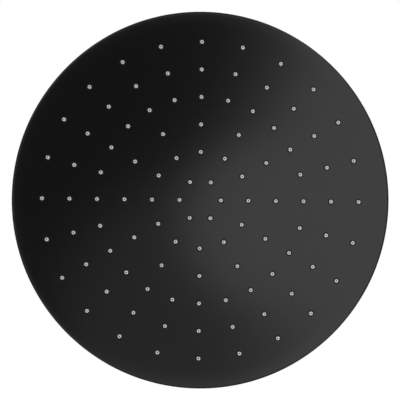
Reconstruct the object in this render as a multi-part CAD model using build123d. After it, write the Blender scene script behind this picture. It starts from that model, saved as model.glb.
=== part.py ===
from build123d import *
from math import asin, atan2, cos, degrees, hypot, pi, radians, sin, tan
import os

# Round rain shower head with silicone nozzles, a screwed back plate, and a ball joint under a union nut.
# Millimetres, +Z up along the inlet. The origin is on the inlet's axis, where the end of the shower arm
# meets the washer, and the spray face looks down.

# Head
head_diameter = 250.0
face_thickness = 2.0
mat_thickness = 1.5
water_gap = 3.0
back_thickness = 1.8
rim_wall = 1.6
rim_radius = 1.3
rim_back_chamfer = 0.5
back_gap = 0.2
centre_rise = 5.0
centre_run = 14.0
centre_land = 3.0
centre_bend = 6.0

# Spray pattern
first_ring_radius = 13.7
first_ring_nozzles = 6
ring_pitch = 18.22
widest_spacing = 30.0
nozzle_root_radius = 1.3
nozzle_tip_radius = 1.2
nozzle_gap = 0.2
nozzle_hole_bevel = 0.5
nozzle_stand_out = 1.0
nozzle_sides = 8
jet_radius = 0.45
jet_sides = 6

# Rim screws and gasket
screw_count = 8
screw_start_angle = 22.5
screw_radius = 1.5
screw_head_radius = 2.75
screw_bite = 4.0
screw_sides = 12
screw_gap = 0.1
screw_land = 1.0
socket_across_flats = 2.0
socket_depth = 1.1
gasket_width = 2.0
gasket_height = 1.2
gasket_inset = 1.0

# Mat and its retainer
mat_gap = 0.5
retainer_gap = 0.7
retainer_ring_width = 3.0
retainer_low_height = 1.2
retainer_arms = 12
retainer_start_angle = 7.5
retainer_arm_width = 2.4

# Inlet thread and union nut
thread_radius = 9.3155
thread_length = 9.0
thread_relief = 1.3
mouth_chamfer = 1.2
nut_wall = 1.9
nut_corner_drop = 1.3
lip_thickness = 2.5
lip_reach = 1.0

# Washer, strainer and flow regulator
washer_thickness = 2.0
washer_bore_radius = 5.0
washer_gap = 0.25
strainer_thickness = 0.5
strainer_edge = 0.6
strainer_hole = 0.9
strainer_pitch = 1.4
regulator_radius = 5.5
regulator_height = 4.4
regulator_wall = 1.1
regulator_floor = 1.2
regulator_core_radius = 1.7
regulator_core_height = 3.2
regulator_port_radius = 0.6
regulator_ports = 6
regulator_gap = 0.1
ring_section_radius = 0.9

# Ball stem
flange_thickness = 2.5
flange_gap = 0.15
turning_gap = 0.1
shank_below_nut = 0.5
stem_bore_radius = 3.5
neck_wall = 1.75

# Ball socket
tilt_limit = 15.0
neck_clearance = 0.35
swing_clearance = 1.0
seat_gap = 0.08
seat_wall = 3.0
seat_lip = 1.2
seat_split = 0.5
seal_margin = 6.0
seal_edge = 0.8
seal_base = 2.0
socket_gap = 0.1

# Hub, collar and lock ring
hub_wall = 2.8
hub_floor = 2.0
hub_top_gap = 0.6
hub_flange_width = 8.0
hub_flange_thickness = 2.5
outlet_radius = 5.0
outlet_flare = 4.0
thread_gap = 0.1
collar_wall = 3.0
collar_lip = 1.6
collar_lip_step = 0.6
collar_skirt = 6.5
collar_chamfer = 1.0
flute_count = 12
flute_radius = 3.0
flute_depth = 0.8
ring_gap = 0.5
lock_height = 3.5
lock_width = 6.5
lock_chamfer = 0.6
lock_slots = 4
lock_slot_width = 4.0
lock_slot_depth = 2.0
hub_washer_thickness = 1.0
hub_washer_margin = 1.0
hub_gasket_thickness = 1.0
hub_hole_gap = 0.2

# Radii of the inlet and the ball stem
relief_radius = thread_radius + thread_relief
nut_flat_radius = relief_radius + nut_wall
nut_corner_radius = nut_flat_radius / cos(pi / 6)
flange_radius = thread_radius - flange_gap
lip_bore_radius = flange_radius - lip_reach
shank_radius = lip_bore_radius - turning_gap
ball_radius = shank_radius
neck_radius = stem_bore_radius + neck_wall
pocket_radius = regulator_radius + regulator_gap

# Ball socket: the seat touches the ball on a circle that leaves the neck free at full tilt,
# and the seal on a circle that the stem's bore never reaches
seat_sphere = ball_radius + seat_gap
tilt = radians(tilt_limit)
seat_angle = tilt + asin((neck_radius + neck_clearance) / seat_sphere)
seat_throat_radius = seat_sphere * sin(seat_angle)
seat_throat_rise = seat_sphere * cos(seat_angle)
seat_rise = seat_throat_rise + seat_lip
seat_mouth_radius = seat_throat_radius + seat_lip * tan(tilt)
seal_angle = asin(stem_bore_radius / ball_radius) + tilt + radians(seal_margin)
seal_throat_radius = seat_sphere * sin(seal_angle)
seal_throat_drop = seat_sphere * cos(seal_angle)
seal_drop = seal_throat_drop + seal_base
seat_radius = ball_radius + seat_wall
cavity_radius = seat_radius + socket_gap
hub_radius = cavity_radius + hub_wall
collar_bore_radius = hub_radius + thread_gap
collar_radius = collar_bore_radius + collar_wall
collar_rise = seat_rise + collar_lip
lock_radius = collar_bore_radius + lock_width
hub_hole_radius = hub_radius + hub_hole_gap
hub_washer_radius = lock_radius + hub_washer_margin
hub_flange_radius = hub_radius + hub_flange_width

# Radii of the head
head_radius = head_diameter / 2
rebate_radius = head_radius - rim_wall
back_radius = rebate_radius - back_gap
screw_circle = rebate_radius - screw_land - screw_head_radius
groove_outer_radius = screw_circle - screw_head_radius - screw_land
groove_inner_radius = groove_outer_radius - gasket_width
chamber_radius = groove_inner_radius - gasket_inset
mat_radius = chamber_radius - mat_gap
retainer_radius = chamber_radius - retainer_gap
retainer_inner_radius = retainer_radius - retainer_ring_width
nozzle_hole_radius = nozzle_root_radius + nozzle_gap
centre_top_radius = max(hub_washer_radius, hub_flange_radius) + centre_land
centre_foot_radius = centre_top_radius + centre_run

# Heights from the arm's seat down to the nozzle tips; the nut's corners clear the collar at full tilt
nut_top = thread_length + mouth_chamfer
stem_top = -washer_thickness
flange_bottom = stem_top - flange_thickness
nut_bottom = flange_bottom - lip_thickness
shank_bottom = nut_bottom - shank_below_nut
ball_height = nut_bottom - (collar_rise + swing_clearance + nut_corner_radius * sin(tilt)) / cos(tilt)
seat_top = ball_height + seat_rise
collar_top = ball_height + collar_rise
hub_top = seat_top - hub_top_gap
cavity_floor = ball_height - seal_drop
collar_bottom = ball_height - collar_skirt
lock_top = min(collar_bottom, cavity_floor - hub_floor + lock_height) - ring_gap
lock_bottom = lock_top - lock_height
centre_top = lock_bottom - hub_washer_thickness
gasket_top = centre_top - back_thickness
hub_flange_top = gasket_top - hub_gasket_thickness
hub_bottom = hub_flange_top - hub_flange_thickness
back_top = centre_top - centre_rise
back_bottom = back_top - back_thickness
mat_top = back_bottom - water_gap
mat_bottom = mat_top - mat_thickness
face_bottom = mat_bottom - face_thickness
nozzle_tip = face_bottom - nozzle_stand_out


def turned(*outline):
    """Solid turned about Z from a closed outline of (radius, height) points."""
    return revolve(Plane.XZ * make_face(Polyline(*outline, close=True)), Axis.Z)


def ring(inner, outer, bottom, top):
    """Plain ring about Z."""
    return turned((inner, bottom), (outer, bottom), (outer, top), (inner, top))


def nozzle_places():
    """Rings one pitch apart, each with twice the nozzles of the last where they would stand too wide."""
    places = []
    radius = first_ring_radius
    count = first_ring_nozzles
    while radius + nozzle_hole_radius < retainer_inner_radius:
        if 2 * pi * radius / count > widest_spacing:
            count *= 2
        places += PolarLocations(radius, count)
        radius += ring_pitch
    return places


def screw_places(height):
    places = PolarLocations(screw_circle, screw_count, start_angle=screw_start_angle)
    return [Pos(0, 0, height) * place for place in places]


def countersunk(gap, depth):
    """Countersunk screw shape below the back plate's top, or its hole with a gap all round."""
    head = screw_head_radius + gap
    shank = screw_radius + gap
    cone = extrude(RegularPolygon(head, screw_sides, major_radius=False), shank - head, taper=45)
    return cone + extrude(RegularPolygon(shank, screw_sides, major_radius=False), -depth)


def face_plate():
    pan = turned(
        (0, face_bottom),
        (head_radius, face_bottom),
        (head_radius, back_top - rim_back_chamfer),
        (head_radius - rim_back_chamfer, back_top),
        (rebate_radius, back_top),
        (rebate_radius, back_bottom),
        (groove_outer_radius, back_bottom),
        (groove_outer_radius, back_bottom - gasket_height),
        (groove_inner_radius, back_bottom - gasket_height),
        (groove_inner_radius, back_bottom),
        (chamber_radius, back_bottom),
        (chamber_radius, mat_bottom),
        (0, mat_bottom),
    )
    pan = fillet(pan.edges().group_by(Axis.Z)[0], rim_radius)
    hole = extrude(RegularPolygon(nozzle_hole_radius, nozzle_sides, major_radius=False), face_thickness)
    mouth = RegularPolygon(nozzle_hole_radius + nozzle_hole_bevel, nozzle_sides, major_radius=False)
    hole += extrude(mouth, nozzle_hole_bevel, taper=45)
    pan -= [Pos(0, 0, face_bottom) * place * hole for place in nozzle_places()]
    thread = RegularPolygon(screw_radius + screw_gap, screw_sides, major_radius=False)
    tapped = extrude(thread, -screw_bite - screw_gap)
    return pan - [place * tapped for place in screw_places(back_bottom)]


def nozzle_mat():
    sheet = Pos(0, 0, mat_bottom) * extrude(Circle(mat_radius), mat_thickness)
    length = mat_bottom - nozzle_tip
    slope = degrees(atan2(nozzle_root_radius - nozzle_tip_radius, length))
    root = RegularPolygon(nozzle_root_radius, nozzle_sides, major_radius=False)
    nozzle = extrude(root, -length, taper=slope)
    jet = Pos(0, 0, -length) * extrude(RegularPolygon(jet_radius, jet_sides), length + mat_thickness)
    places = [Pos(0, 0, mat_bottom) * place for place in nozzle_places()]
    mat = sheet + [place * nozzle for place in places]
    return mat - [place * jet for place in places]


def mat_retainer():
    """Clamping ring around the mat, with arms that run in to a low ring so that water passes over it."""
    inner_radius = first_ring_radius + ring_pitch / 2
    outer_ring = Circle(retainer_radius) - Circle(retainer_inner_radius)
    inner_ring = Circle(inner_radius + retainer_arm_width / 2) - Circle(inner_radius - retainer_arm_width / 2)
    reach = (retainer_inner_radius + retainer_radius) / 2 - inner_radius
    arm = Pos(reach / 2, 0) * Rectangle(reach, retainer_arm_width)
    arm_places = PolarLocations(inner_radius, retainer_arms, start_angle=retainer_start_angle)
    arms = [place * arm for place in arm_places]
    tall = extrude(outer_ring, water_gap)
    low = extrude(inner_ring + arms, retainer_low_height)
    return Pos(0, 0, mat_top) * (tall + low)


def rim_gasket():
    return ring(groove_inner_radius, groove_outer_radius, back_bottom - gasket_height, back_bottom)


def back_plate():
    """Pressed cover of even thickness, with soft bends around its raised centre."""
    top_line = FilletPolyline(
        (hub_hole_radius, centre_top),
        (centre_top_radius, centre_top),
        (centre_foot_radius, back_top),
        (back_radius, back_top),
        radius=centre_bend,
    )
    under_line = Pos(0, -back_thickness) * top_line
    ends = [Line(top_line @ end, under_line @ end) for end in (0, 1)]
    plate = revolve(Plane.XZ * make_face(top_line + under_line + ends), Axis.Z)
    hole = countersunk(screw_gap, 2 * back_thickness)
    return plate - [place * hole for place in screw_places(back_top)]


def cover_screws():
    socket = extrude(RegularPolygon(socket_across_flats / 2, 6, major_radius=False), -socket_depth)
    screw = countersunk(0, back_thickness + screw_bite) - socket
    return Compound(children=[place * screw for place in screw_places(back_top)])


def swivel_hub():
    return turned(
        (outlet_radius + outlet_flare, hub_bottom),
        (hub_flange_radius, hub_bottom),
        (hub_flange_radius, hub_flange_top),
        (hub_radius, hub_flange_top),
        (hub_radius, hub_top),
        (cavity_radius, hub_top),
        (cavity_radius, cavity_floor),
        (outlet_radius, cavity_floor),
        (outlet_radius, hub_bottom + outlet_flare),
    )


def hub_gasket():
    return ring(hub_hole_radius, hub_flange_radius, hub_flange_top, gasket_top)


def hub_washer():
    return ring(hub_hole_radius, hub_washer_radius, centre_top, lock_bottom)


def lock_ring():
    """Round nut with slots for a hook spanner."""
    nut = turned(
        (collar_bore_radius, lock_bottom),
        (lock_radius, lock_bottom),
        (lock_radius, lock_top - lock_chamfer),
        (lock_radius - lock_chamfer, lock_top),
        (collar_bore_radius, lock_top),
    )
    slot = Pos(0, 0, lock_bottom) * extrude(Rectangle(2 * lock_slot_depth, lock_slot_width), lock_height)
    return nut - [place * slot for place in PolarLocations(lock_radius, lock_slots)]


def collar_nut():
    """Nut that closes the socket, with an opening that widens at the tilt limit and grip flutes outside."""
    lip_radius = seat_mouth_radius + collar_lip_step
    nut = turned(
        (collar_bore_radius, collar_bottom),
        (collar_radius - collar_chamfer, collar_bottom),
        (collar_radius, collar_bottom + collar_chamfer),
        (collar_radius, collar_top - collar_chamfer),
        (collar_radius - collar_chamfer, collar_top),
        (lip_radius + collar_lip * tan(tilt), collar_top),
        (lip_radius, seat_top),
        (collar_bore_radius, seat_top),
    )
    flute = Pos(0, 0, collar_bottom) * extrude(Circle(flute_radius), collar_top - collar_bottom)
    flute_circle = collar_radius + flute_radius - flute_depth
    return nut - [place * flute for place in PolarLocations(flute_circle, flute_count)]


def ball_seat():
    """Friction ring whose cone touches the ball just below its throat."""
    split = ball_height + seat_split
    foot_radius = seat_throat_radius + (seat_throat_rise - seat_split) / tan(seat_angle)
    return turned(
        (foot_radius, split),
        (seat_radius, split),
        (seat_radius, seat_top),
        (seat_mouth_radius, seat_top),
        (seat_throat_radius, ball_height + seat_throat_rise),
    )


def ball_seal():
    """Cup seal whose cone touches the ball around the outlet."""
    edge_radius = seat_radius - seal_edge
    throat = ball_height - seal_throat_drop
    edge = throat + (edge_radius - seal_throat_radius) * tan(seal_angle)
    return turned(
        (seal_throat_radius, cavity_floor),
        (seat_radius, cavity_floor),
        (seat_radius, edge),
        (edge_radius, edge),
        (seal_throat_radius, throat),
    )


def ball_stem():
    """Hollow stem: flange that hangs on the nut's lip, shank that turns in it, neck and ball."""
    stem = turned(
        (0, stem_top),
        (flange_radius, stem_top),
        (flange_radius, flange_bottom),
        (shank_radius, flange_bottom),
        (shank_radius, shank_bottom),
        (neck_radius, shank_bottom - (shank_radius - neck_radius)),
        (neck_radius, ball_height),
        (0, ball_height),
    )
    stem += Pos(0, 0, ball_height) * Sphere(ball_radius)
    pocket_floor = stem_top - regulator_gap - regulator_height
    waterway = turned(
        (0, stem_top),
        (pocket_radius, stem_top),
        (pocket_radius, pocket_floor),
        (stem_bore_radius, pocket_floor),
        (stem_bore_radius, ball_height - ball_radius),
        (0, ball_height - ball_radius),
    )
    return stem - waterway


def flow_regulator():
    """Cup with a core, and ports in its floor between the core and the wall."""
    bottom = stem_top - regulator_gap - regulator_height
    channel_radius = regulator_radius - regulator_wall
    cup = turned(
        (0, bottom),
        (regulator_radius, bottom),
        (regulator_radius, bottom + regulator_height),
        (channel_radius, bottom + regulator_height),
        (channel_radius, bottom + regulator_floor),
        (regulator_core_radius, bottom + regulator_floor),
        (regulator_core_radius, bottom + regulator_core_height),
        (0, bottom + regulator_core_height),
    )
    port = Pos(0, 0, bottom) * extrude(RegularPolygon(regulator_port_radius, jet_sides), regulator_floor)
    port_circle = channel_radius - regulator_port_radius - regulator_gap
    return cup - [place * port for place in PolarLocations(port_circle, regulator_ports)]


def regulator_ring():
    height = stem_top - regulator_gap - regulator_height + regulator_floor + ring_section_radius
    section = Pos(regulator_core_radius + ring_section_radius, height)
    section *= RegularPolygon(ring_section_radius, nozzle_sides)
    return revolve(Plane.XZ * section, Axis.Z)


def inlet_washer():
    """Sealing washer with a groove that holds the strainer's edge."""
    outer = thread_radius - washer_gap
    groove = washer_bore_radius + strainer_edge
    middle = -washer_thickness / 2
    washer = ring(washer_bore_radius, outer, -washer_thickness, 0)
    return washer - ring(0, groove, middle - strainer_thickness / 2, middle + strainer_thickness / 2)


def inlet_strainer():
    """Disc of square meshes."""
    open_radius = washer_bore_radius - strainer_hole / 2
    rows = 2 * int(open_radius / strainer_pitch) + 1
    grid = GridLocations(strainer_pitch, strainer_pitch, rows, rows)
    inside = [place for place in grid if hypot(place.position.X, place.position.Y) < open_radius]
    mesh = Rectangle(strainer_hole, strainer_hole)
    disc = Circle(washer_bore_radius + strainer_edge) - [place * mesh for place in inside]
    return Pos(0, 0, -(washer_thickness + strainer_thickness) / 2) * extrude(disc, strainer_thickness)


def coupling_nut():
    """Hexagon nut with turned corners; a lip below the thread carries the stem's flange."""
    height = nut_top - nut_bottom
    prism = Pos(0, 0, nut_bottom) * extrude(RegularPolygon(nut_flat_radius, 6, major_radius=False), height)
    corner_radius = nut_corner_radius - nut_corner_drop / tan(pi / 6)
    envelope = turned(
        (0, nut_bottom),
        (corner_radius, nut_bottom),
        (nut_corner_radius, nut_bottom + nut_corner_drop),
        (nut_corner_radius, nut_top - nut_corner_drop),
        (corner_radius, nut_top),
        (0, nut_top),
    )
    bore = turned(
        (0, nut_bottom),
        (lip_bore_radius, nut_bottom),
        (lip_bore_radius, flange_bottom),
        (relief_radius, flange_bottom),
        (relief_radius, 0),
        (thread_radius, 0),
        (thread_radius, thread_length),
        (thread_radius + mouth_chamfer, nut_top),
        (0, nut_top),
    )
    return (prism & envelope) - bore


pieces = [
    coupling_nut,
    inlet_washer,
    inlet_strainer,
    flow_regulator,
    regulator_ring,
    ball_stem,
    ball_seat,
    ball_seal,
    collar_nut,
    swivel_hub,
    lock_ring,
    hub_washer,
    hub_gasket,
    back_plate,
    cover_screws,
    rim_gasket,
    mat_retainer,
    nozzle_mat,
    face_plate,
]

os.makedirs("parts", exist_ok=True)
for piece in pieces:
    export_step(piece(), f"parts/{piece.__name__}.step")
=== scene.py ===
import bmesh
import bpy
from math import acos, asin, atan, atan2, cos, hypot, pi, radians, sin, sqrt, tan
from mathutils import Matrix, Vector


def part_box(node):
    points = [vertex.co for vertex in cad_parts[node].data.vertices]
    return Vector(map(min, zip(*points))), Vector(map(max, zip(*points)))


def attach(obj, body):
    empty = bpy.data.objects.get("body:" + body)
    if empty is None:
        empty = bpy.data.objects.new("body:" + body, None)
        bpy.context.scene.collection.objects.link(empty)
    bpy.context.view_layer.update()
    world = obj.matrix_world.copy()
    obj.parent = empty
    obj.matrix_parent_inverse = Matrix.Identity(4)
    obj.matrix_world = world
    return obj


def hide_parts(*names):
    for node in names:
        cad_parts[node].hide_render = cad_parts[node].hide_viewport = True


# Round rain shower head: satin black pan with grey silicone nozzles, a screwed back plate, and a ball joint
# under a union nut. Sizes are in millimetres: heights come from the frame, and the rest is as in the part's
# source. Finished meshes are in metres. +Z is up along the inlet, and the spray face looks down.

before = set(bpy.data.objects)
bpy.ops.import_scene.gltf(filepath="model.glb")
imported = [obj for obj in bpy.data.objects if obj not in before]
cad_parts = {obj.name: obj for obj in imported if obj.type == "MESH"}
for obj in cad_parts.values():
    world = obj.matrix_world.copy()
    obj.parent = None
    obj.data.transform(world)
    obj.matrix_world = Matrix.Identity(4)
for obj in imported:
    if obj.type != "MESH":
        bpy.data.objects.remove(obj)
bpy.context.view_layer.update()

# Units, axes, tolerances and the fineness of round forms
mm = 0.001
z_axis = (0, 0, 1)
y_axis = (0, 1, 0)
merge_distance = 0.002
cut_tolerance = 1e-5
angle_tolerance = 1e-4
rounding_angle = radians(25)
crisp_angle = radians(32)
edge_steps = 2
round_steps = 4
head_steps = 192
joint_steps = 96


def top(node):
    """Height of a CAD node's top."""
    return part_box(node)[1].z / mm


def bottom(node):
    """Height of a CAD node's lowest point."""
    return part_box(node)[0].z / mm


# Pan, mat and back plate
head_radius = 125.0
rim_radius = 1.3
rim_crown = 0.35
crown_radius = 119.0
crown_bend = 4.0
rim_back_chamfer = 0.5
rebate_radius = 123.4
rebate_edge = 0.2
face_thickness = 2.0
chamber_radius = 112.9
groove_radii = (113.9, 115.9)
groove_depth = 1.2
mat_radius = 112.4
back_radius = 123.2
back_thickness = 1.8
back_edge = 0.25
centre_bend = 1.04
centre_top_radius = 24.97
centre_foot_radius = 38.97
hub_hole_radius = 14.17
face_bottom = bottom("face_plate")
mat_bottom = face_bottom + face_thickness
mat_top = top("nozzle_mat")
nozzle_tip = bottom("nozzle_mat")
back_top = top("face_plate")
back_bottom = back_top - back_thickness
centre_top = top("back_plate")

# Spray pattern: rings one pitch apart, in cells of twenty corners, and the steps around each ring's edges
first_ring_radius = 13.7
ring_pitch = 18.22
ring_counts = (6, 12, 12, 24, 24, 24)
ring_edge_steps = (12, 48, 48, 96, 96, 96, 192)
pattern_radius = 112.0
cell_corners = 20
nozzle_hole_radius = 1.5
nozzle_hole_bevel = 0.5
nozzle_hole_edge = 0.1
nozzle_hole_edge_cut = 0.07
nozzle_root_radius = 1.3
nozzle_tip_radius = 1.2
nozzle_tip_edge = 0.25
nozzle_tip_edge_cut = 0.07
jet_radius = 0.45
jet_mouth = 0.12
jet_mouth_depth = 0.2

# Cover screws
screw_count = 8
screw_start = radians(22.5)
screw_circle = 119.65
screw_band = (116.2, 122.7)
screw_cell_steps = 4
screw_radius = 1.5
screw_head_radius = 2.75
screw_head_edge = 0.15
screw_head_edge_drop = 0.1
screw_gap = 0.1
screw_bite = 4.0
screw_tip_chamfer = 0.4
screw_steps = 24
countersink_edge = 0.1
socket_across_flats = 2.0
socket_depth = 1.1
socket_edge = 0.12

# Union nut and its pipe thread, whose section gives shares of the pitch and of the depth from crest to crest
nut_flat_radius = 12.5155
nut_corner_drop = 1.3
nut_edge = 0.2
nut_side_steps = 16
mouth_radius = 10.5155
lip_bore_radius = 8.1655
lip_thickness = 2.5
relief_radius = 10.6155
relief_top = -0.6
coat_reach = 0.1
thread_radius = 9.3155
thread_root_radius = 10.4
thread_length = 9.0
thread_pitch = 1.814
thread_section = (
    (0, 0), (0.1, 0), (0.17, 0.1), (0.43, 0.9), (0.5, 1), (0.6, 1), (0.67, 0.9), (0.93, 0.1), (1, 0),
)
thread_steps = 64
thread_start = -0.2
thread_end_drop = 0.1
spare_turns = 2
nut_top = top("coupling_nut")
nut_bottom = bottom("coupling_nut")
nut_corner_radius = nut_flat_radius / cos(pi / 6)
nut_face_radius = nut_corner_radius - nut_corner_drop / tan(pi / 6)

# Washer and strainer
washer_radius = 9.0655
washer_bore_radius = 5.0
washer_foot_edge = 0.2
washer_top_edge = 0.3
strainer_radius = 5.4
strainer_groove_depth = 0.6
wire_radius = 0.125
wire_pitch = 1.4
wire_steps = 6
wire_bend_steps = 4

# Ball stem and seat
flange_radius = 9.1655
flange_thickness = 2.5
shank_radius = 8.0655
shank_below_nut = 0.5
stem_edge = 0.5
neck_radius = 5.25
ball_radius = 8.0655
ball_steps = 20
stem_bore_radius = 3.5
pocket_radius = 5.6
pocket_depth = 4.5
seat_radius = 11.0655
seat_throat_radius = 6.941
seat_lip = 1.2
seat_mouth_radius = 7.263
seat_edge = 0.2
seat_foot_gap = 0.1
stem_top = top("ball_stem")
shank_bottom = nut_bottom - shank_below_nut
ball_height = bottom("ball_stem") + sqrt(ball_radius ** 2 - stem_bore_radius ** 2)
seat_top = top("ball_seat")
seat_bottom = bottom("ball_seat")

# Collar nut, lock ring and hub washer
collar_radius = 17.0655
collar_bore_radius = 14.0655
collar_chamfer = 1.0
collar_edge = 0.18
collar_lip_radius = 7.863
collar_mouth_radius = 8.292
flute_count = 12
flute_radius = 3.0
flute_depth = 0.8
flute_steps = 8
land_steps = 6
collar_top = top("collar_nut")
collar_bottom = bottom("collar_nut")
lock_radius = 20.5655
lock_chamfer = 0.6
lock_edge = 0.15
lock_slots = 4
lock_slot_width = 4.0
lock_slot_depth = 2.0
lock_land_steps = 24
lock_top = top("lock_ring")
lock_bottom = bottom("lock_ring")
hub_washer_radius = 21.5655
hub_washer_foot_edge = 0.2
hub_washer_top_edge = 0.3

# Noise in the finishes: the stretch of its values that is used
noise_range = (0.3, 0.7)

# Photograph: the camera's distance from the face, the frame's half width there, the offset of the head
# from the middle of the frame, and its turn
camera_distance = 1000.0
frame_half_width = 132.4
camera_offset = (-0.093, -0.073)
camera_turn = radians(-0.66)

# Studio, in metres and watts: soft light all round, a pale floor that fades to white, and soft lamps
room_light = 0.5
floor_height = -2.0
floor_size = 12.0
floor_shade = 0.86
floor_roughness = 0.8
fade_reach = (0.3, 1.2)
fade_least = 0.65
large_lamp = (0.8, 0.8)
top_lamp_place = (0.3, -0.35, 0.85)
top_lamp_power = 3.0
face_lamp_place = (0.9, 0.5, -0.9)
face_lamp_power = 12.5
strip_lamp = (0.2, 0.3)
strip_lamps = 4
strip_distance = 0.34
strip_height = 0.12
strip_power = 0.25

# What reflections see: a room whose shades go by height, from -1 straight down to 1 straight up, and a grey
# card below the face. The card has a dark round patch, which comes first, and soft round lights, each with
# its middle, radius, soft edge and strength.
room_shades = ((-0.65, 0.4), (-0.4, 0.04), (-0.05, 0.04), (0.3, 0.25), (0.9, 0.8))
card_depth = 0.3
card_size = 0.6
card_shade = 0.6
card_lights = (
    ((-0.03, -0.01), 0.16, 0.08, -0.55),
    ((0.06, 0.015), 0.05, 0.04, 0.9),
    ((0.01, 0.11), 0.1, 0.06, 0.25),
    ((0.12, -0.07), 0.04, 0.04, 0.3),
    ((0.45, -0.02), 0.28, 0.19, 1.0),
)


def join(bm, part):
    """Add a part that was modelled by itself to a piece."""
    mesh = bpy.data.meshes.new("part")
    part.to_mesh(mesh)
    part.free()
    bm.from_mesh(mesh)
    bpy.data.meshes.remove(mesh)


def everything(bm):
    """All corners, edges and faces."""
    return bm.verts[:] + bm.edges[:] + bm.faces[:]


def copy_around(bm, count):
    """Copy all that is modelled so far around Z."""
    turn_angle = 2 * pi * (count - 1) / count
    bmesh.ops.spin(bm, geom=everything(bm), axis=z_axis, angle=turn_angle, steps=count - 1,
                   use_duplicate=True)


def turn(bm, outline, steps, closed=True):
    """Turn an outline of (radius, height) corners about Z; a third number rounds a corner off."""
    part = bmesh.new()
    corners = [part.verts.new((radius, 0, height)) for radius, height, *_ in outline]
    for start, end in zip(corners, corners[1:] + corners[:closed]):
        part.edges.new((start, end))
    for corner, (_, _, *cut) in zip(corners, outline):
        if cut:
            bmesh.ops.bevel(part, geom=[corner], offset=cut[0], affect="VERTICES",
                            segments=round_steps, profile=0.5, material=-1)
    bmesh.ops.spin(part, geom=everything(part), axis=z_axis, angle=2 * pi, steps=steps, use_merge=True)
    join(bm, part)


def lay_round(face, centre, radius, flats=0):
    """Lay a face's corners evenly around a circle, or around a polygon of so many flats."""
    face.normal_update()
    first = face.verts[0].co - centre
    start = atan2(first.y, first.x)
    step = 2 * pi / len(face.verts) * (1 if face.normal.z > 0 else -1)
    for place, vert in enumerate(face.verts):
        angle = start + place * step
        reach = radius
        if flats:
            reach /= cos((angle + pi / flats) % (2 * pi / flats) - pi / flats)
        vert.co = centre + reach * Vector((cos(angle), sin(angle), 0))


def draw_out(bm, face, centre, stations, flats=0):
    """Draw a face on through (radius, height) stations; it stays round or keeps its flats."""
    for radius, height in stations:
        face = bmesh.ops.extrude_discrete_faces(bm, faces=[face])["faces"][0]
        lay_round(face, Vector((*centre, height)), radius, flats)
    return face


def drilled_ring(bm, edges, height, count, hole_circle, stations, steps, side_steps, rest_steps=0, start=0.0,
                 blind=False):
    """Flat ring with evenly spaced holes or studs, each drawn out through (radius, height) stations.

    Each hole has its own cell of arcs and sides; rest_steps fill a plain stretch between the cells."""
    part = bmesh.new()
    width = 2 * pi / count * steps[1] / (steps[1] + rest_steps)
    swing = Matrix.Rotation(-width / 2, 3, "Z")
    near = [part.verts.new(swing @ Vector((radius, 0, height))) for radius in edges]
    far = []
    for vert, arc_steps in zip(near, steps):
        far += bmesh.ops.spin(part, geom=[vert], axis=z_axis, angle=width, steps=arc_steps)["geom_last"]
    sides = [part.edges.new(near), part.edges.new(far)]
    if side_steps > 1:
        bmesh.ops.subdivide_edges(part, edges=sides, cuts=side_steps - 1)
    cell = bmesh.ops.contextual_create(part, geom=part.edges[:])["faces"][0]
    if rest_steps:
        side = [vert for vert in part.verts if abs(atan2(vert.co.y, vert.co.x) - width / 2) < angle_tolerance]
        side += [edge for edge in part.edges if all(vert in side for vert in edge.verts)]
        bmesh.ops.spin(part, geom=side, axis=z_axis, angle=2 * pi / count - width, steps=rest_steps)
    end = draw_out(part, cell, (hole_circle, 0), stations)
    if not blind:
        bmesh.ops.delete(part, geom=[end], context="FACES_ONLY")
    copy_around(part, count)
    bmesh.ops.rotate(part, verts=part.verts, matrix=Matrix.Rotation(start, 3, "Z"))
    join(bm, part)


def spray_disc(bm, height, stations):
    """Flat disc with the spray pattern's holes or nozzles."""
    edges = [first_ring_radius + ring_pitch * (ring - 0.5) for ring in range(len(ring_counts))]
    edges.append(pattern_radius)
    middle = bmesh.new()
    bmesh.ops.create_circle(middle, cap_ends=True, radius=edges[0], segments=ring_edge_steps[0])
    bmesh.ops.translate(middle, verts=middle.verts, vec=(0, 0, height))
    join(bm, middle)
    for ring, count in enumerate(ring_counts):
        steps = (ring_edge_steps[ring] // count, ring_edge_steps[ring + 1] // count)
        side_steps = (cell_corners - sum(steps)) // 2
        hole_circle = first_ring_radius + ring * ring_pitch
        drilled_ring(bm, edges[ring:ring + 2], height, count, hole_circle, stations, steps, side_steps)


def next_loop(bm, loop, place):
    """Extrude a loop of edges; place gives a corner's new radius and height from its old radius."""
    new = bmesh.ops.extrude_edge_only(bm, edges=loop)["geom"]
    verts = {item for item in new if isinstance(item, bmesh.types.BMVert)}
    for vert in verts:
        old = hypot(vert.co.x, vert.co.y)
        radius, height = place(old)
        vert.co = (vert.co.x * radius / old, vert.co.y * radius / old, height)
    return [item for item in new if isinstance(item, bmesh.types.BMEdge) and verts.issuperset(item.verts)]


def draw_loops(bm, loop, places):
    """Extrude a loop of edges from place to place, and give the last loop."""
    for place in places:
        loop = next_loop(bm, loop, place)
    return loop


def round_edges(bm, width):
    """Round off every sharp edge."""
    bmesh.ops.remove_doubles(bm, verts=bm.verts, dist=merge_distance)
    bmesh.ops.recalc_face_normals(bm, faces=bm.faces)
    sharp = [edge for edge in bm.edges
             if len(edge.link_faces) == 2 and edge.calc_face_angle() > rounding_angle]
    bmesh.ops.bevel(bm, geom=sharp, offset=width, affect="EDGES", segments=edge_steps, profile=0.5,
                    material=-1)


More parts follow.
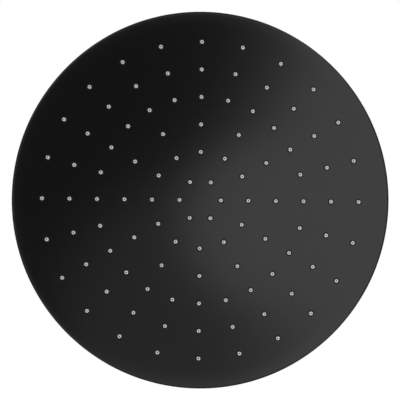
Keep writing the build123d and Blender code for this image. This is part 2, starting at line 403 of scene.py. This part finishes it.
def piece(name, bm, body, finishes):
    """Finish a piece that stands for the CAD node of the same name."""
    bmesh.ops.remove_doubles(bm, verts=bm.verts, dist=merge_distance)
    bmesh.ops.recalc_face_normals(bm, faces=bm.faces)
    if bm.calc_volume(signed=True) < 0:
        bmesh.ops.reverse_faces(bm, faces=bm.faces)
    bmesh.ops.scale(bm, vec=(mm, mm, mm), verts=bm.verts)
    mesh = bpy.data.meshes.new(name + "_skin")
    bm.to_mesh(mesh)
    bm.free()
    mesh.shade_smooth()
    mesh.set_sharp_from_angle(angle=crisp_angle)
    for finish in finishes:
        mesh.materials.append(finish)
    skin = bpy.data.objects.new(name + "_skin", mesh)
    skin.modifiers.new("flat_faces", "WEIGHTED_NORMAL").keep_sharp = True
    bpy.context.scene.collection.objects.link(skin)
    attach(skin, body)
    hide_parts(name)
    return skin


def face_plate(finish):
    """Pan with bevelled nozzle holes, a rounded rim and a ledge for the back plate."""
    bm = bmesh.new()
    bevel_radius = nozzle_hole_radius + nozzle_hole_bevel
    bevel_top = face_bottom + nozzle_hole_bevel
    spray_disc(bm, face_bottom, [
        (bevel_radius + nozzle_hole_edge, face_bottom),
        (bevel_radius - nozzle_hole_edge_cut, face_bottom + nozzle_hole_edge_cut),
        (nozzle_hole_radius + nozzle_hole_edge_cut, bevel_top - nozzle_hole_edge_cut),
        (nozzle_hole_radius, bevel_top + nozzle_hole_edge),
        (nozzle_hole_radius, mat_bottom),
    ])
    spray_disc(bm, mat_bottom, [(nozzle_hole_radius, mat_bottom)])
    turn(bm, [
        (pattern_radius, face_bottom),
        (crown_radius, face_bottom, crown_bend),
        (head_radius, face_bottom + rim_crown, rim_radius),
        (head_radius, back_top, rim_back_chamfer),
        (rebate_radius, back_top, rebate_edge),
        (rebate_radius, back_bottom),
    ], head_steps, closed=False)
    turn(bm, [
        (groove_radii[1], back_bottom),
        (groove_radii[1], back_bottom - groove_depth),
        (groove_radii[0], back_bottom - groove_depth),
        (groove_radii[0], back_bottom),
        (chamber_radius, back_bottom),
        (chamber_radius, mat_bottom),
        (pattern_radius, mat_bottom),
    ], head_steps, closed=False)
    tapped_radius = screw_radius + screw_gap
    tapped = [(tapped_radius, back_bottom), (tapped_radius, back_bottom - screw_bite - screw_gap)]
    screw_ring(bm, (groove_radii[1], rebate_radius), back_bottom, tapped, blind=True)
    return piece("face_plate", bm, "head", [finish])


def screw_ring(bm, edges, height, stations, blind=False):
    """Flat ring around the rim with the cover screws' holes."""
    steps = (screw_cell_steps, screw_cell_steps)
    side_steps = (cell_corners - sum(steps)) // 2
    rest_steps = head_steps // screw_count - screw_cell_steps
    drilled_ring(bm, edges, height, screw_count, screw_circle, stations, steps, side_steps, rest_steps,
                 screw_start, blind)


def nozzle_mat(finish):
    """Silicone mat with round-tipped nozzles, each with its jet through the mat."""
    bm = bmesh.new()
    spray_disc(bm, mat_bottom, [
        (nozzle_root_radius, mat_bottom),
        (nozzle_tip_radius, nozzle_tip + nozzle_tip_edge),
        (nozzle_tip_radius - nozzle_tip_edge_cut, nozzle_tip + nozzle_tip_edge_cut),
        (nozzle_tip_radius - nozzle_tip_edge, nozzle_tip),
        (jet_radius + jet_mouth, nozzle_tip),
        (jet_radius, nozzle_tip + jet_mouth_depth),
        (jet_radius, mat_top),
    ])
    spray_disc(bm, mat_top, [(jet_radius, mat_top)])
    turn(bm, [
        (pattern_radius, mat_bottom),
        (mat_radius, mat_bottom),
        (mat_radius, mat_top),
        (pattern_radius, mat_top),
    ], head_steps, closed=False)
    return piece("nozzle_mat", bm, "head", [finish])


def back_plate(finish):
    """Pressed cover with soft bends around its raised centre and countersunk holes along its rim."""
    bm = bmesh.new()
    turn(bm, [
        (screw_band[0], back_top),
        (centre_foot_radius, back_top, centre_bend),
        (centre_top_radius, centre_top, centre_bend),
        (hub_hole_radius, centre_top),
        (hub_hole_radius, centre_top - back_thickness),
        (centre_top_radius, centre_top - back_thickness, centre_bend),
        (centre_foot_radius, back_bottom, centre_bend),
        (screw_band[0], back_bottom),
    ], head_steps, closed=False)
    turn(bm, [
        (screw_band[1], back_top),
        (back_radius, back_top, back_edge),
        (back_radius, back_bottom),
        (screw_band[1], back_bottom),
    ], head_steps, closed=False)
    head = screw_head_radius + screw_gap
    shank = screw_radius + screw_gap
    screw_ring(bm, screw_band, back_top, [
        (head + countersink_edge, back_top),
        (head, back_top - countersink_edge),
        (shank, back_top - countersink_edge - head + shank),
        (shank, back_bottom),
    ])
    screw_ring(bm, screw_band, back_bottom, [(shank, back_bottom)])
    return piece("back_plate", bm, "head", [finish])


def cover_screws(finish):
    """Countersunk socket screws, all alike."""
    bm = bmesh.new()
    tip = back_bottom - screw_bite
    top_radius = screw_head_radius - screw_head_edge
    socket = socket_across_flats / 2
    top_face = bmesh.new()
    bmesh.ops.create_circle(top_face, cap_ends=True, radius=top_radius, segments=screw_steps)
    bmesh.ops.translate(top_face, verts=top_face.verts, vec=(0, 0, back_top))
    top_face.faces.ensure_lookup_table()
    draw_out(top_face, top_face.faces[0], (0, 0), [
        (socket + socket_edge, back_top),
        (socket, back_top - socket_edge),
        (socket, back_top - socket_depth),
    ], flats=6)
    join(bm, top_face)
    turn(bm, [
        (top_radius, back_top),
        (screw_head_radius, back_top - screw_head_edge_drop),
        (screw_radius, back_top - screw_head_edge_drop - screw_head_radius + screw_radius),
        (screw_radius, tip + screw_tip_chamfer),
        (screw_radius - screw_tip_chamfer, tip),
        (0, tip),
    ], screw_steps, closed=False)
    bmesh.ops.translate(bm, verts=bm.verts, vec=(screw_circle, 0, 0))
    bmesh.ops.rotate(bm, verts=bm.verts, matrix=Matrix.Rotation(screw_start, 3, "Z"))
    copy_around(bm, screw_count)
    return piece("cover_screws", bm, "head", [finish])


def pipe_thread(bm):
    """Helical pipe thread, cut by the mouth's cone above and opened to the relief below."""
    before = set(bm.faces)
    depth = thread_root_radius - thread_radius
    low = -spare_turns * thread_pitch
    section = [(thread_radius + depth * out, 0, low + thread_pitch * up) for up, out in thread_section]
    verts = [bm.verts.new(corner) for corner in section]
    edges = [bm.edges.new(ends) for ends in zip(verts, verts[1:])]
    turns = int((nut_top - low) / thread_pitch) + spare_turns
    bmesh.ops.spin(bm, geom=verts + edges, axis=z_axis, dvec=(0, 0, thread_pitch / thread_steps),
                   angle=2 * pi * turns, steps=thread_steps * turns)
    faces = [face for face in bm.faces if face not in before]
    verts = list({vert for face in faces for vert in face.verts})
    bmesh.ops.remove_doubles(bm, verts=verts, dist=merge_distance)
    faces = [face for face in bm.faces if face not in before]
    for vert in {vert for face in faces for vert in face.verts}:
        old = hypot(vert.co.x, vert.co.y)
        least = relief_radius if vert.co.z < 0 else thread_radius + max(0, vert.co.z - thread_length)
        scale = max(1, least / old)
        vert.co = (vert.co.x * scale, vert.co.y * scale, vert.co.z)
    loops = []
    for height, upper in ((nut_top - thread_end_drop, True), (thread_start, False)):
        faces = [face for face in bm.faces if face not in before]
        geom = list({item for face in faces for item in (face, *face.verts, *face.edges)})
        cut = bmesh.ops.bisect_plane(bm, geom=geom, dist=cut_tolerance, plane_co=(0, 0, height),
                                     plane_no=z_axis, clear_outer=upper, clear_inner=not upper)["geom_cut"]
        loops.append([item for item in cut if isinstance(item, bmesh.types.BMEdge)])
    return loops


def coupling_nut(coat, bare):
    """Hexagon nut with turned corners, and a pipe thread left bare inside."""
    bm = bmesh.new()
    bmesh.ops.create_circle(bm, radius=nut_corner_radius, segments=6)
    bmesh.ops.rotate(bm, verts=bm.verts, matrix=Matrix.Rotation(pi / 6, 3, "Z"))
    bmesh.ops.subdivide_edges(bm, edges=bm.edges[:], cuts=nut_side_steps - 1)
    slope = tan(pi / 6)
    for vert in bm.verts:
        vert.co.z = nut_bottom + (hypot(vert.co.x, vert.co.y) - nut_face_radius) * slope
    hexagon = bm.edges[:]
    mouth = draw_loops(bm, hexagon, [
        lambda radius: (radius, nut_top - (radius - nut_face_radius) * slope),
        lambda radius: (nut_face_radius, nut_top),
        lambda radius: (mouth_radius, nut_top),
    ])
    relief = draw_loops(bm, hexagon, [
        lambda radius: (nut_face_radius, nut_bottom),
        lambda radius: (lip_bore_radius, nut_bottom),
        lambda radius: (lip_bore_radius, nut_bottom + lip_thickness),
        lambda radius: (relief_radius, nut_bottom + lip_thickness),
        lambda radius: (relief_radius, relief_top),
    ])
    round_edges(bm, nut_edge)
    thread_mouth, thread_foot = pipe_thread(bm)
    bmesh.ops.bridge_loops(bm, edges=mouth + thread_mouth)
    bmesh.ops.bridge_loops(bm, edges=relief + thread_foot)
    for face in bm.faces:
        centre = face.calc_center_median()
        inside = hypot(centre.x, centre.y) < relief_radius and centre.z > nut_bottom + coat_reach
        face.material_index = int(inside)
    return piece("coupling_nut", bm, "coupling", [coat, bare])


def collar_nut(finish):
    """Grip nut with flutes that run out in its chamfers."""
    bm = bmesh.new()
    flute_circle = collar_radius + flute_radius - flute_depth
    half = acos((collar_radius ** 2 + flute_circle ** 2 - flute_radius ** 2)
                / (2 * collar_radius * flute_circle))
    sweep = 2 * asin(collar_radius * sin(half) / flute_radius)
    corner = bm.verts.new((collar_radius * cos(half), -collar_radius * sin(half), 0))
    land = bmesh.ops.spin(bm, geom=[corner], cent=(flute_circle, 0, 0), axis=z_axis, angle=-sweep,
                          steps=flute_steps)["geom_last"]
    bmesh.ops.spin(bm, geom=land, axis=z_axis, angle=2 * pi / flute_count - 2 * half, steps=land_steps)
    copy_around(bm, flute_count)
    bmesh.ops.remove_doubles(bm, verts=bm.verts, dist=merge_distance)
    end_radius = collar_radius - collar_chamfer
    for vert in bm.verts:
        vert.co.z = collar_bottom + hypot(vert.co.x, vert.co.y) - end_radius
    outline = bm.edges[:]
    foot = draw_loops(bm, outline, [
        lambda radius: (radius, collar_top - (radius - end_radius)),
        lambda radius: (end_radius, collar_top),
        lambda radius: (collar_mouth_radius, collar_top),
        lambda radius: (collar_lip_radius, seat_top),
        lambda radius: (collar_bore_radius, seat_top),
        lambda radius: (collar_bore_radius, collar_bottom),
        lambda radius: (end_radius, collar_bottom),
    ])
    bmesh.ops.bridge_loops(bm, edges=outline + foot)
    round_edges(bm, collar_edge)
    return piece("collar_nut", bm, "head", [finish])


def lock_ring(finish):
    """Round nut with spanner slots."""
    bm = bmesh.new()
    half = lock_slot_width / 2
    rim = sqrt(lock_radius ** 2 - half ** 2)
    floor = lock_radius - lock_slot_depth
    slot = ((rim, -half), (floor, -half), (floor, half), (rim, half))
    corners = [bm.verts.new((x, y, lock_bottom)) for x, y in slot]
    for ends in zip(corners, corners[1:]):
        bm.edges.new(ends)
    land_angle = 2 * pi / lock_slots - 2 * asin(half / lock_radius)
    bmesh.ops.spin(bm, geom=corners[3:], axis=z_axis, angle=land_angle, steps=lock_land_steps)
    copy_around(bm, lock_slots)
    bmesh.ops.remove_doubles(bm, verts=bm.verts, dist=merge_distance)
    outline = bm.edges[:]
    foot = draw_loops(bm, outline, [
        lambda radius: (radius, lock_top - lock_chamfer),
        lambda radius: (min(radius, lock_radius - lock_chamfer), lock_top),
        lambda radius: (collar_bore_radius, lock_top),
        lambda radius: (collar_bore_radius, lock_bottom),
    ])
    bmesh.ops.bridge_loops(bm, edges=outline + foot)
    round_edges(bm, lock_edge)
    return piece("lock_ring", bm, "head", [finish])


def hub_washer(finish):
    """Plastic washer between the lock ring and the back plate's centre."""
    bm = bmesh.new()
    turn(bm, [
        (hub_hole_radius, centre_top),
        (hub_washer_radius, centre_top, hub_washer_foot_edge),
        (hub_washer_radius, lock_bottom, hub_washer_top_edge),
        (hub_hole_radius, lock_bottom),
    ], joint_steps)
    return piece("hub_washer", bm, "head", [finish])


def ball_stem(finish):
    """Hollow stem: flange in the union nut, shank, neck and ball."""
    outline = bmesh.new()
    flange_bottom = stem_top - flange_thickness
    neck_top = shank_bottom - (shank_radius - neck_radius)
    neck_bottom = ball_height + sqrt(ball_radius ** 2 - neck_radius ** 2)
    pocket_floor = stem_top - pocket_depth
    line = [
        (stem_bore_radius, bottom("ball_stem")),
        (stem_bore_radius, pocket_floor),
        (pocket_radius, pocket_floor),
        (pocket_radius, stem_top),
        (flange_radius, stem_top),
        (flange_radius, flange_bottom),
        (shank_radius, flange_bottom),
        (shank_radius, shank_bottom),
        (neck_radius, neck_top),
        (neck_radius, neck_bottom),
    ]
    corners = [outline.verts.new((radius, 0, height)) for radius, height in line]
    for ends in zip(corners, corners[1:]):
        outline.edges.new(ends)
    sweep = pi - asin(neck_radius / ball_radius) - asin(stem_bore_radius / ball_radius)
    bmesh.ops.spin(outline, geom=corners[-1:], cent=(0, 0, ball_height), axis=y_axis, angle=sweep,
                   steps=ball_steps)
    flange_edge, shank_foot, neck_start = corners[4], corners[7], corners[8]
    bmesh.ops.bevel(outline, geom=[flange_edge, shank_foot, neck_start], offset=stem_edge,
                    affect="VERTICES", segments=round_steps, profile=0.5, material=-1)
    bmesh.ops.remove_doubles(outline, verts=outline.verts, dist=merge_distance)
    bmesh.ops.spin(outline, geom=everything(outline), axis=z_axis, angle=2 * pi, steps=joint_steps,
                   use_merge=True)
    return piece("ball_stem", outline, "stem", [finish])


def ball_seat(finish):
    """Friction ring around the ball."""
    bm = bmesh.new()
    throat_height = seat_top - seat_lip
    foot_radius = sqrt(ball_radius ** 2 - (seat_bottom - ball_height) ** 2) + seat_foot_gap
    turn(bm, [
        (foot_radius, seat_bottom),
        (seat_radius, seat_bottom),
        (seat_radius, seat_top, seat_edge),
        (seat_mouth_radius, seat_top, seat_edge),
        (seat_throat_radius, throat_height),
    ], joint_steps)
    return piece("ball_seat", bm, "seat", [finish])


def inlet_washer(finish):
    """Rubber washer with a groove for the strainer's edge."""
    bm = bmesh.new()
    foot = bottom("inlet_washer")
    groove_radius = washer_bore_radius + strainer_groove_depth
    groove_top = foot / 2 + 2 * wire_radius
    groove_bottom = foot / 2 - 2 * wire_radius
    turn(bm, [
        (washer_bore_radius, foot, washer_foot_edge),
        (washer_radius, foot, washer_foot_edge),
        (washer_radius, 0, washer_top_edge),
        (washer_bore_radius, 0, washer_top_edge),
        (washer_bore_radius, groove_top),
        (groove_radius, groove_top),
        (groove_radius, groove_bottom),
        (washer_bore_radius, groove_bottom),
    ], joint_steps)
    return piece("inlet_washer", bm, "stem", [finish])


def inlet_strainer(finish):
    """Woven wire disc; each wire passes over and under the wires that cross it."""
    bm = bmesh.new()
    middle = bottom("inlet_washer") / 2
    count = int(strainer_radius / wire_pitch - 0.5) + 1
    for row in range(-count, count):
        across = (row + 0.5) * wire_pitch
        length = 2 * sqrt(strainer_radius ** 2 - across ** 2)
        wire = bmesh.new()
        bmesh.ops.create_cone(wire, cap_ends=True, segments=wire_steps, radius1=wire_radius,
                              radius2=wire_radius, depth=length)
        runs = [edge for edge in wire.edges if abs(edge.verts[0].co.z - edge.verts[1].co.z) > length / 2]
        bmesh.ops.subdivide_edges(wire, edges=runs, cuts=int(wire_bend_steps * length / wire_pitch))
        bmesh.ops.rotate(wire, verts=wire.verts, matrix=Matrix.Rotation(pi / 2, 3, "Y"))
        for vert in wire.verts:
            vert.co.z += wire_radius * sin(pi * (vert.co.x / wire_pitch + row))
        bmesh.ops.translate(wire, verts=wire.verts, vec=(0, across, middle))
        join(bm, wire)
    other_way = bm.copy()
    bmesh.ops.rotate(other_way, verts=other_way.verts, matrix=Matrix.Rotation(pi / 2, 3, "Z"))
    join(bm, other_way)
    return piece("inlet_strainer", bm, "stem", [finish])


def link_noise(material, size, detail=3.0):
    """Noise of the given grain size in millimetres, on the piece's own coordinates."""
    nodes = material.node_tree.nodes
    places = nodes.new("ShaderNodeTexCoord")
    noise = nodes.new("ShaderNodeTexNoise")
    noise.inputs["Scale"].default_value = 1 / (size * mm)
    noise.inputs["Detail"].default_value = detail
    material.node_tree.links.new(places.outputs["Object"], noise.inputs["Vector"])
    return noise.outputs["Fac"]


def spread(material, noise, socket, low, high):
    """Vary a socket of the shader between two values."""
    span = material.node_tree.nodes.new("ShaderNodeMapRange")
    span.inputs["From Min"].default_value = noise_range[0]
    span.inputs["From Max"].default_value = noise_range[1]
    span.inputs["To Min"].default_value = low
    span.inputs["To Max"].default_value = high
    links = material.node_tree.links
    links.new(noise, span.inputs["Value"])
    links.new(span.outputs["Result"], material.node_tree.nodes["Principled BSDF"].inputs[socket])


def shade(material, noise, dark, light):
    """Vary the base colour between two colours."""
    mix = material.node_tree.nodes.new("ShaderNodeMix")
    mix.data_type = "RGBA"
    mix.inputs["A"].default_value = (*dark, 1)
    mix.inputs["B"].default_value = (*light, 1)
    links = material.node_tree.links
    links.new(noise, mix.inputs["Factor"])
    links.new(mix.outputs["Result"], material.node_tree.nodes["Principled BSDF"].inputs["Base Color"])


def grain(material, noise, height):
    """Fine surface grain of the given height in millimetres."""
    bump = material.node_tree.nodes.new("ShaderNodeBump")
    bump.inputs["Distance"].default_value = height * mm
    links = material.node_tree.links
    links.new(noise, bump.inputs["Height"])
    links.new(bump.outputs["Normal"], material.node_tree.nodes["Principled BSDF"].inputs["Normal"])


def new_finish(name, metallic=0.0):
    """New material, a metal or not."""
    material = bpy.data.materials.new(name)
    material.use_nodes = True
    material.node_tree.nodes["Principled BSDF"].inputs["Metallic"].default_value = metallic
    return material


def black_coat():
    """Satin black lacquer with a very fine grain."""
    material = new_finish("black_coat")
    shade(material, link_noise(material, 9), (0.0036, 0.0036, 0.0037), (0.0048, 0.0048, 0.0049))
    spread(material, link_noise(material, 4), "Roughness", 0.185, 0.215)
    grain(material, link_noise(material, 0.35), 0.002)
    material.node_tree.nodes["Principled BSDF"].inputs["IOR"].default_value = 1.55
    return material


def joint_coat():
    """Matt black enamel of the brass joint, greyer than the pan's lacquer."""
    material = new_finish("joint_coat")
    shade(material, link_noise(material, 3), (0.012, 0.012, 0.0123), (0.016, 0.016, 0.0164))
    spread(material, link_noise(material, 1.5), "Roughness", 0.3, 0.37)
    grain(material, link_noise(material, 0.3), 0.003)
    return material


def grey_silicone():
    """Soft matt rubber, a little uneven in shade."""
    material = new_finish("grey_silicone")
    shade(material, link_noise(material, 1.5), (0.6, 0.6, 0.595), (0.68, 0.68, 0.675))
    spread(material, link_noise(material, 0.8), "Roughness", 0.5, 0.62)
    grain(material, link_noise(material, 0.2), 0.004)
    return material


def black_steel():
    """Blackened steel of the cover screws."""
    material = new_finish("black_steel", metallic=1.0)
    shade(material, link_noise(material, 1.2), (0.03, 0.03, 0.031), (0.055, 0.055, 0.056))
    spread(material, link_noise(material, 0.6), "Roughness", 0.3, 0.4)
    grain(material, link_noise(material, 0.15), 0.003)
    return material


def brass():
    """Bare brass of the nut's thread and of the hub."""
    material = new_finish("brass", metallic=1.0)
    shade(material, link_noise(material, 2.0), (0.66, 0.46, 0.19), (0.76, 0.55, 0.25))
    spread(material, link_noise(material, 0.7), "Roughness", 0.22, 0.36)
    grain(material, link_noise(material, 0.2), 0.003)
    return material


def stainless():
    """Stainless wire of the strainer."""
    material = new_finish("stainless", metallic=1.0)
    shade(material, link_noise(material, 1.0), (0.55, 0.55, 0.54), (0.66, 0.66, 0.65))
    spread(material, link_noise(material, 0.5), "Roughness", 0.25, 0.35)
    grain(material, link_noise(material, 0.1), 0.002)
    return material


def black_rubber():
    """Rubber of the washer, the seal and the gaskets."""
    material = new_finish("black_rubber")
    shade(material, link_noise(material, 1.5), (0.011, 0.011, 0.011), (0.018, 0.018, 0.018))
    spread(material, link_noise(material, 0.5), "Roughness", 0.6, 0.75)
    grain(material, link_noise(material, 0.12), 0.006)
    return material


def pale_plastic():
    """Moulded plastic of the mat's retainer and the flow regulator."""
    material = new_finish("pale_plastic")
    shade(material, link_noise(material, 3.0), (0.62, 0.62, 0.6), (0.7, 0.7, 0.68))
    spread(material, link_noise(material, 1.0), "Roughness", 0.4, 0.5)
    grain(material, link_noise(material, 0.3), 0.003)
    return material


def dark_plastic():
    """Dark plastic of the ball seat and the hub washer."""
    material = new_finish("dark_plastic")
    shade(material, link_noise(material, 2.0), (0.012, 0.012, 0.012), (0.02, 0.02, 0.02))
    spread(material, link_noise(material, 0.8), "Roughness", 0.42, 0.52)
    grain(material, link_noise(material, 0.25), 0.003)
    return material


def dress_nodes(finishes):
    """Finishes of the inner pieces whose CAD shape stays as it is."""
    for node, finish in finishes.items():
        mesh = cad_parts[node].data
        mesh.materials.clear()
        mesh.materials.append(finish)


def stage_plane(name, size, height, material):
    """Flat square of the studio, which isn't part of the object."""
    bm = bmesh.new()
    bmesh.ops.create_grid(bm, x_segments=1, y_segments=1, size=size / 2)
    bmesh.ops.translate(bm, verts=bm.verts, vec=(0, 0, height))
    mesh = bpy.data.meshes.new(name)
    bm.to_mesh(mesh)
    bm.free()
    mesh.materials.append(material)
    plane = bpy.data.objects.new(name, mesh)
    bpy.context.scene.collection.objects.link(plane)
    return plane


def plain_floor():
    """Pale floor well below the head, which fades to white away from the shadow."""
    material = bpy.data.materials.new("pale_floor")
    material.use_nodes = True
    nodes = material.node_tree.nodes
    links = material.node_tree.links
    shader = nodes["Principled BSDF"]
    shader.inputs["Base Color"].default_value = (floor_shade, floor_shade, floor_shade, 1)
    shader.inputs["Roughness"].default_value = floor_roughness
    places = nodes.new("ShaderNodeTexCoord")
    away = nodes.new("ShaderNodeVectorMath")
    away.operation = "DISTANCE"
    away.inputs[1].default_value = (0, 0, floor_height)
    links.new(places.outputs["Object"], away.inputs[0])
    fade = nodes.new("ShaderNodeMapRange")
    fade.interpolation_type = "SMOOTHSTEP"
    fade.inputs["From Min"].default_value = fade_reach[0]
    fade.inputs["From Max"].default_value = fade_reach[1]
    fade.inputs["To Min"].default_value = fade_least
    links.new(away.outputs["Value"], fade.inputs["Value"])
    path = nodes.new("ShaderNodeLightPath")
    seen = nodes.new("ShaderNodeMath")
    seen.operation = "MULTIPLY"
    links.new(path.outputs["Is Camera Ray"], seen.inputs[0])
    links.new(fade.outputs["Result"], seen.inputs[1])
    white = nodes.new("ShaderNodeEmission")
    mix = nodes.new("ShaderNodeMixShader")
    links.new(seen.outputs["Value"], mix.inputs["Fac"])
    links.new(shader.outputs["BSDF"], mix.inputs[1])
    links.new(white.outputs["Emission"], mix.inputs[2])
    links.new(mix.outputs["Shader"], nodes["Material Output"].inputs["Surface"])
    floor = stage_plane("floor", floor_size, floor_height, material)
    floor.visible_glossy = False


def reflected_card():
    """Grey card that only reflections see, with a dark patch and soft round lights."""
    height = face_bottom * mm - card_depth
    material = bpy.data.materials.new("reflected_card")
    material.use_nodes = True
    nodes = material.node_tree.nodes
    links = material.node_tree.links
    places = nodes.new("ShaderNodeTexCoord")
    glow = nodes.new("ShaderNodeEmission")
    total = None
    for middle, radius, edge, strength in card_lights:
        away = nodes.new("ShaderNodeVectorMath")
        away.operation = "DISTANCE"
        away.inputs[1].default_value = (*middle, height)
        links.new(places.outputs["Object"], away.inputs[0])
        light = nodes.new("ShaderNodeMapRange")
        light.interpolation_type = "SMOOTHSTEP"
        light.inputs["From Min"].default_value = radius
        light.inputs["From Max"].default_value = radius + edge
        light.inputs["To Min"].default_value = strength
        light.inputs["To Max"].default_value = 0.0
        links.new(away.outputs["Value"], light.inputs["Value"])
        add = nodes.new("ShaderNodeMath")
        add.use_clamp = True
        add.inputs[0].default_value = card_shade
        if total:
            links.new(total, add.inputs[0])
        links.new(light.outputs["Result"], add.inputs[1])
        total = add.outputs["Value"]
    links.new(total, glow.inputs["Strength"])
    links.new(glow.outputs["Emission"], nodes["Material Output"].inputs["Surface"])
    card = stage_plane("reflected_card", card_size, height, material)
    card.visible_camera = False
    card.visible_diffuse = False
    card.visible_transmission = False
    card.visible_shadow = False


def studio_world():
    """White to the camera, soft light, and in reflections a room that is dark below its horizon."""
    world = bpy.data.worlds.new("studio")
    world.use_nodes = True
    nodes = world.node_tree.nodes
    links = world.node_tree.links
    places = nodes.new("ShaderNodeTexCoord")
    split = nodes.new("ShaderNodeSeparateXYZ")
    links.new(places.outputs["Generated"], split.inputs["Vector"])
    height = nodes.new("ShaderNodeMapRange")
    height.inputs["From Min"].default_value = -1.0
    links.new(split.outputs["Z"], height.inputs["Value"])
    room = nodes.new("ShaderNodeValToRGB")
    room.color_ramp.interpolation = "EASE"
    stops = room.color_ramp.elements
    stops.remove(stops[1])
    for place, (level, strength) in enumerate(room_shades):
        stop = stops.new((level + 1) / 2) if place else stops[0]
        stop.position = (level + 1) / 2
        stop.color = (strength, strength, strength, 1)
    links.new(height.outputs["Result"], room.inputs["Fac"])
    path = nodes.new("ShaderNodeLightPath")
    soft = nodes.new("ShaderNodeMix")
    soft.inputs["A"].default_value = room_light
    links.new(path.outputs["Is Glossy Ray"], soft.inputs["Factor"])
    links.new(room.outputs["Color"], soft.inputs["B"])
    seen = nodes.new("ShaderNodeMath")
    seen.operation = "MAXIMUM"
    links.new(path.outputs["Is Camera Ray"], seen.inputs[0])
    links.new(path.outputs["Is Transmission Ray"], seen.inputs[1])
    level = nodes.new("ShaderNodeMix")
    level.inputs["B"].default_value = 1.0
    links.new(seen.outputs["Value"], level.inputs["Factor"])
    links.new(soft.outputs["Result"], level.inputs["A"])
    backdrop = nodes["Background"]
    backdrop.inputs["Color"].default_value = (1, 1, 1, 1)
    links.new(level.outputs["Result"], backdrop.inputs["Strength"])
    bpy.context.scene.world = world


def soft_lamp(name, place, size, power, reflected=True):
    """Soft box that looks at the head."""
    light = bpy.data.lights.new(name, "AREA")
    light.shape = "RECTANGLE"
    light.size, light.size_y = size
    light.energy = power
    lamp = bpy.data.objects.new(name, light)
    lamp.location = place
    lamp.rotation_euler = Vector(place).to_track_quat("Z", "Y").to_euler()
    lamp.visible_camera = False
    lamp.visible_glossy = reflected
    bpy.context.scene.collection.objects.link(lamp)


def studio_lamps():
    """Large soft boxes above and below, and strips around the joint that the pan hides from the face."""
    soft_lamp("top_lamp", top_lamp_place, large_lamp, top_lamp_power)
    for corner in range(strip_lamps):
        angle = (corner + 0.5) * 2 * pi / strip_lamps
        place = (strip_distance * cos(angle), strip_distance * sin(angle), strip_height)
        soft_lamp(f"strip_lamp_{corner}", place, strip_lamp, strip_power)
    soft_lamp("face_lamp", face_lamp_place, large_lamp, face_lamp_power, reflected=False)


def photo_camera():
    """Camera straight below the spray face."""
    data = bpy.data.cameras.new("camera")
    data.angle = 2 * atan(frame_half_width / camera_distance)
    camera = bpy.data.objects.new("camera", data)
    camera.location = (camera_offset[0] * mm, camera_offset[1] * mm, (face_bottom - camera_distance) * mm)
    camera.rotation_euler = (pi, 0, camera_turn)
    bpy.context.scene.collection.objects.link(camera)
    bpy.context.scene.camera = camera


coat = black_coat()
enamel = joint_coat()
rubber = black_rubber()
pale = pale_plastic()
dark = dark_plastic()
bare_brass = brass()
face_plate(coat)
nozzle_mat(grey_silicone())
back_plate(coat)
cover_screws(black_steel())
coupling_nut(enamel, bare_brass)
collar_nut(enamel)
lock_ring(enamel)
hub_washer(dark)
ball_stem(enamel)
ball_seat(dark)
inlet_washer(rubber)
inlet_strainer(stainless())
dress_nodes({
    "swivel_hub": bare_brass,
    "ball_seal": rubber,
    "hub_gasket": rubber,
    "rim_gasket": rubber,
    "regulator_ring": rubber,
    "mat_retainer": pale,
    "flow_regulator": pale,
})

bpy.context.scene.view_settings.view_transform = "Standard"
plain_floor()
reflected_card()
studio_world()
studio_lamps()
photo_camera()
